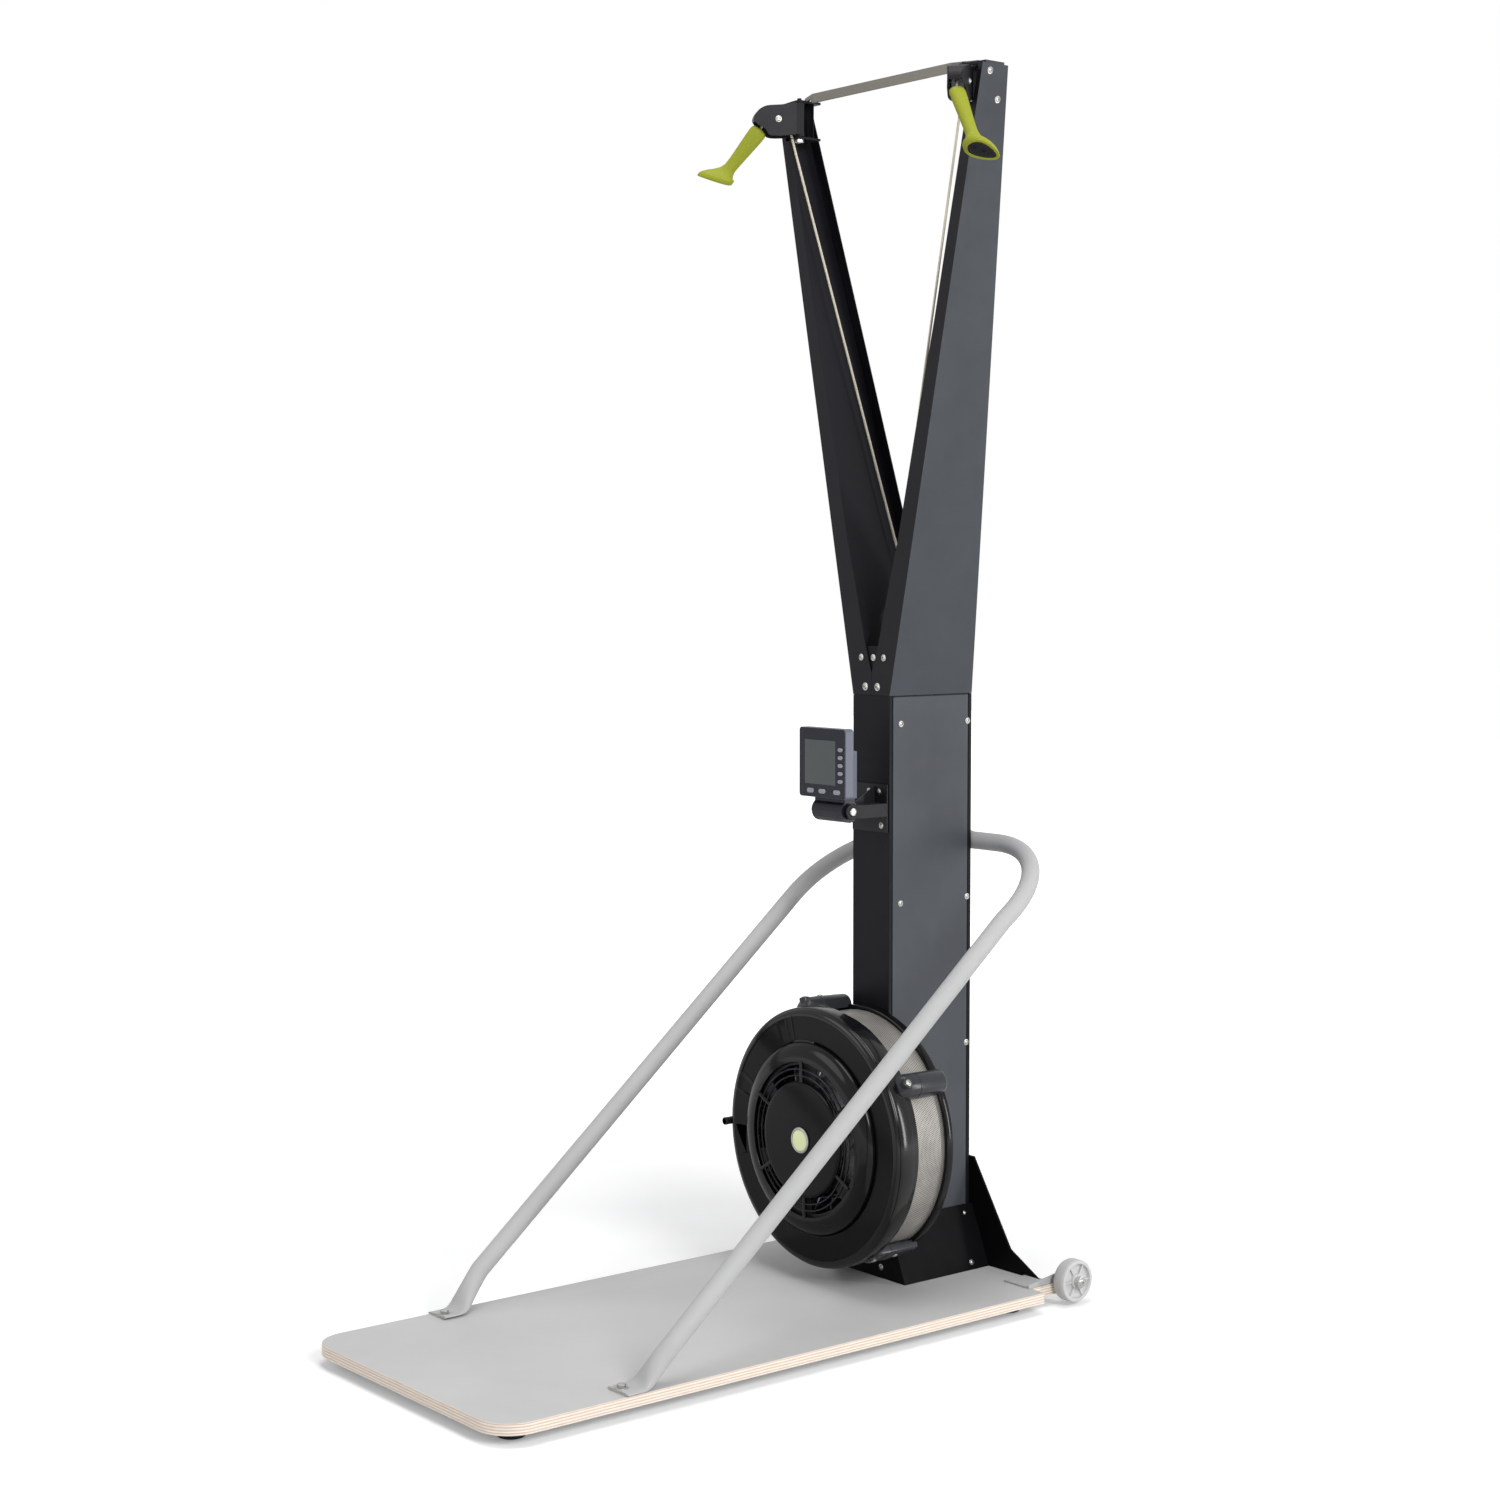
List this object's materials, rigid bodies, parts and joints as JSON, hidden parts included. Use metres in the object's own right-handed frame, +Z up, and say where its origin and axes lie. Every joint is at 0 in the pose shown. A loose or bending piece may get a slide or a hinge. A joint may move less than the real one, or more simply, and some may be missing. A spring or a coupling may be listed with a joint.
{
  "type": "ski trainer",
  "caption": "Upright ski trainer: column with two spread arms, swivelling pulley heads, pull cords with handles, caged air flywheel, tilting monitor and a standing deck with transport wheels.",
  "frame": {"origin": "on the floor, under the middle of the machine", "axes": "+Z up, +Y from the deck towards the column and the wheels, +X to the right hand of a user who faces the column"},
  "size_m": [0.6706, 1.26, 2.163],
  "materials": {
    "plywood": "plywood with a pale grey laminate",
    "rubber": "matt black rubber",
    "grey_steel": "silver grey powder coat",
    "black_steel": "satin black powder coat",
    "panel_steel": "satin dark grey powder coat",
    "bright_steel": "machined",
    "strip_steel": "dull drawn strip",
    "black_plastic": "fine grained moulding",
    "grey_plastic": "smooth moulding",
    "wheel_plastic": "smooth grey moulding",
    "lime_plastic": "lime green moulding",
    "cord": "braided polyester",
    "elastic": "sheathed elastic",
    "screen_steel": "perforated sheet",
    "case_plastic": "dark blue grey moulding",
    "key_plastic": "pale grey soft keys",
    "display": "grey green display window"
  },
  "bodies": {
    "frame": {"deck_board": "plywood", "stand_tube": "grey_steel", "tube_saddle": "grey_steel", "column_front": "black_steel", "column_rear": "black_steel", "base_shoe": "black_steel", "rear_gusset": "black_steel", "crossbar": "strip_steel", "pulley_carrier": "black_steel", "shaft_bearing_front": "bright_steel", "shaft_bearing_rear": "bright_steel", "cage_front": "black_plastic", "cage_screen": "screen_steel", "cage_rear": "black_plastic", "hub_cap": "lime_plastic", "monitor_bracket": "black_plastic", "deck_foot_front_left": "rubber", "deck_foot_front_right": "rubber", "deck_foot_rear_left": "rubber", "deck_foot_rear_right": "rubber", "wheel_bracket_left": "grey_steel", "side_panel_left": "panel_steel", "arm_left": "panel_steel", "drive_cord_left": "cord", "return_cord_left": "elastic", "wheel_bracket_right": "grey_steel", "side_panel_right": "panel_steel", "arm_right": "panel_steel", "drive_cord_right": "cord", "return_cord_right": "elastic"},
    "rotor": {"drive_shaft": "bright_steel", "flywheel": "bright_steel"},
    "damper": {"damper_ring": "black_plastic"},
    "monitor": {"monitor_housing": "case_plastic", "monitor_back": "case_plastic", "monitor_screen": "display"},
    "spool_left": {"cord_spool_left": "black_plastic"},
    "guide_left": {"guide_pulley_left": "grey_plastic"},
    "head_left": {"pulley_housing_left": "black_plastic", "pull_cord_left": "cord"},
    "top_wheel_left": {"top_pulley_left": "grey_plastic"},
    "grip_left": {"handle_left": "lime_plastic", "handle_plug_left": "black_plastic"},
    "wheel_left": {"transport_wheel_left": "wheel_plastic"},
    "spool_right": {"cord_spool_right": "black_plastic"},
    "guide_right": {"guide_pulley_right": "grey_plastic"},
    "head_right": {"pulley_housing_right": "black_plastic", "pull_cord_right": "cord"},
    "top_wheel_right": {"top_pulley_right": "grey_plastic"},
    "grip_right": {"handle_right": "lime_plastic", "handle_plug_right": "black_plastic"},
    "wheel_right": {"transport_wheel_right": "wheel_plastic"},
    "key_side_1_cap": {"key_side_1": "key_plastic"},
    "key_side_2_cap": {"key_side_2": "key_plastic"},
    "key_side_3_cap": {"key_side_3": "key_plastic"},
    "key_side_4_cap": {"key_side_4": "key_plastic"},
    "key_side_5_cap": {"key_side_5": "key_plastic"},
    "key_base_1_cap": {"key_base_1": "key_plastic"},
    "key_base_2_cap": {"key_base_2": "key_plastic"},
    "key_base_3_cap": {"key_base_3": "key_plastic"}
  },
  "joints": [
    {"name": "flywheel_spin", "type": "hinge", "parent": "frame", "child": "rotor", "pos_m": [0, 0.3, 0.305], "axis": [0, 1, 0], "continuous": true},
    {"name": "damper_turn", "type": "hinge", "parent": "frame", "child": "damper", "pos_m": [0, 0.21, 0.305], "axis": [0, -1, 0], "range_deg": [0, 25]},
    {"name": "monitor_tilt", "type": "hinge", "parent": "frame", "child": "monitor", "pos_m": [0, 0.269, 0.883], "axis": [1, 0, 0], "range_deg": [-20, 20]},
    {"name": "head_swivel_left", "type": "hinge", "parent": "frame", "child": "head_left", "pos_m": [-0.216, 0.368, 2.119], "axis": [0, 0, 1], "range_deg": [-8, 30]},
    {"name": "handle_pull_left", "type": "slide", "parent": "head_left", "child": "grip_left", "axis": [-0.3194, -0.5532, -0.7694], "range_m": [0, 1.2], "stiffness_N_per_m": 12, "springref_m": -0.8},
    {"name": "top_pulley_spin_left", "type": "hinge", "parent": "head_left", "child": "top_wheel_left", "pos_m": [-0.2365, 0.33249, 2.119], "axis": [0.866, -0.5, 0], "continuous": true},
    {"name": "guide_pulley_spin_left", "type": "hinge", "parent": "frame", "child": "guide_left", "pos_m": [-0.016, 0.45, 1.098], "axis": [0, 1, 0], "continuous": true},
    {"name": "spool_spin_left", "type": "hinge", "parent": "frame", "child": "spool_left", "pos_m": [0, 0.45, 0.305], "axis": [0, 1, 0], "continuous": true},
    {"name": "wheel_spin_left", "type": "hinge", "parent": "frame", "child": "wheel_left", "pos_m": [-0.275, 0.592, 0.044], "axis": [1, 0, 0], "continuous": true},
    {"name": "head_swivel_right", "type": "hinge", "parent": "frame", "child": "head_right", "pos_m": [0.216, 0.368, 2.119], "axis": [0, 0, 1], "range_deg": [-36, 2]},
    {"name": "handle_pull_right", "type": "slide", "parent": "head_right", "child": "grip_right", "axis": [0.3755, -0.5168, -0.7694], "range_m": [0, 1.2], "stiffness_N_per_m": 12, "springref_m": -0.8},
    {"name": "top_pulley_spin_right", "type": "hinge", "parent": "head_right", "child": "top_wheel_right", "pos_m": [0.2401, 0.33483, 2.119], "axis": [0.809, 0.5878, 0], "continuous": true},
    {"name": "guide_pulley_spin_right", "type": "hinge", "parent": "frame", "child": "guide_right", "pos_m": [0.016, 0.45, 1.098], "axis": [0, 1, 0], "continuous": true},
    {"name": "spool_spin_right", "type": "hinge", "parent": "frame", "child": "spool_right", "pos_m": [0, 0.45, 0.305], "axis": [0, 1, 0], "continuous": true},
    {"name": "wheel_spin_right", "type": "hinge", "parent": "frame", "child": "wheel_right", "pos_m": [0.275, 0.592, 0.044], "axis": [1, 0, 0], "continuous": true},
    {"name": "key_side_1_press", "type": "slide", "parent": "monitor", "child": "key_side_1_cap", "axis": [0, 1, 0], "range_m": [0, 0.001], "stiffness_N_per_m": 400, "springref_m": -0.002},
    {"name": "key_side_2_press", "type": "slide", "parent": "monitor", "child": "key_side_2_cap", "axis": [0, 1, 0], "range_m": [0, 0.001], "stiffness_N_per_m": 400, "springref_m": -0.002},
    {"name": "key_side_3_press", "type": "slide", "parent": "monitor", "child": "key_side_3_cap", "axis": [0, 1, 0], "range_m": [0, 0.001], "stiffness_N_per_m": 400, "springref_m": -0.002},
    {"name": "key_side_4_press", "type": "slide", "parent": "monitor", "child": "key_side_4_cap", "axis": [0, 1, 0], "range_m": [0, 0.001], "stiffness_N_per_m": 400, "springref_m": -0.002},
    {"name": "key_side_5_press", "type": "slide", "parent": "monitor", "child": "key_side_5_cap", "axis": [0, 1, 0], "range_m": [0, 0.001], "stiffness_N_per_m": 400, "springref_m": -0.002},
    {"name": "key_base_1_press", "type": "slide", "parent": "monitor", "child": "key_base_1_cap", "axis": [0, 1, 0], "range_m": [0, 0.001], "stiffness_N_per_m": 400, "springref_m": -0.002},
    {"name": "key_base_2_press", "type": "slide", "parent": "monitor", "child": "key_base_2_cap", "axis": [0, 1, 0], "range_m": [0, 0.001], "stiffness_N_per_m": 400, "springref_m": -0.002},
    {"name": "key_base_3_press", "type": "slide", "parent": "monitor", "child": "key_base_3_cap", "axis": [0, 1, 0], "range_m": [0, 0.001], "stiffness_N_per_m": 400, "springref_m": -0.002}
  ],
  "couplings": [
    {"joint": "top_pulley_spin_left", "follows": "handle_pull_left", "rad_per_m": 54.945},
    {"joint": "guide_pulley_spin_left", "follows": "handle_pull_left", "rad_per_m": -47.17},
    {"joint": "spool_spin_left", "follows": "handle_pull_left", "rad_per_m": -45.455},
    {"joint": "top_pulley_spin_right", "follows": "handle_pull_right", "rad_per_m": 54.945},
    {"joint": "guide_pulley_spin_right", "follows": "handle_pull_right", "rad_per_m": 47.17},
    {"joint": "spool_spin_right", "follows": "handle_pull_right", "rad_per_m": 45.455}
  ]
}
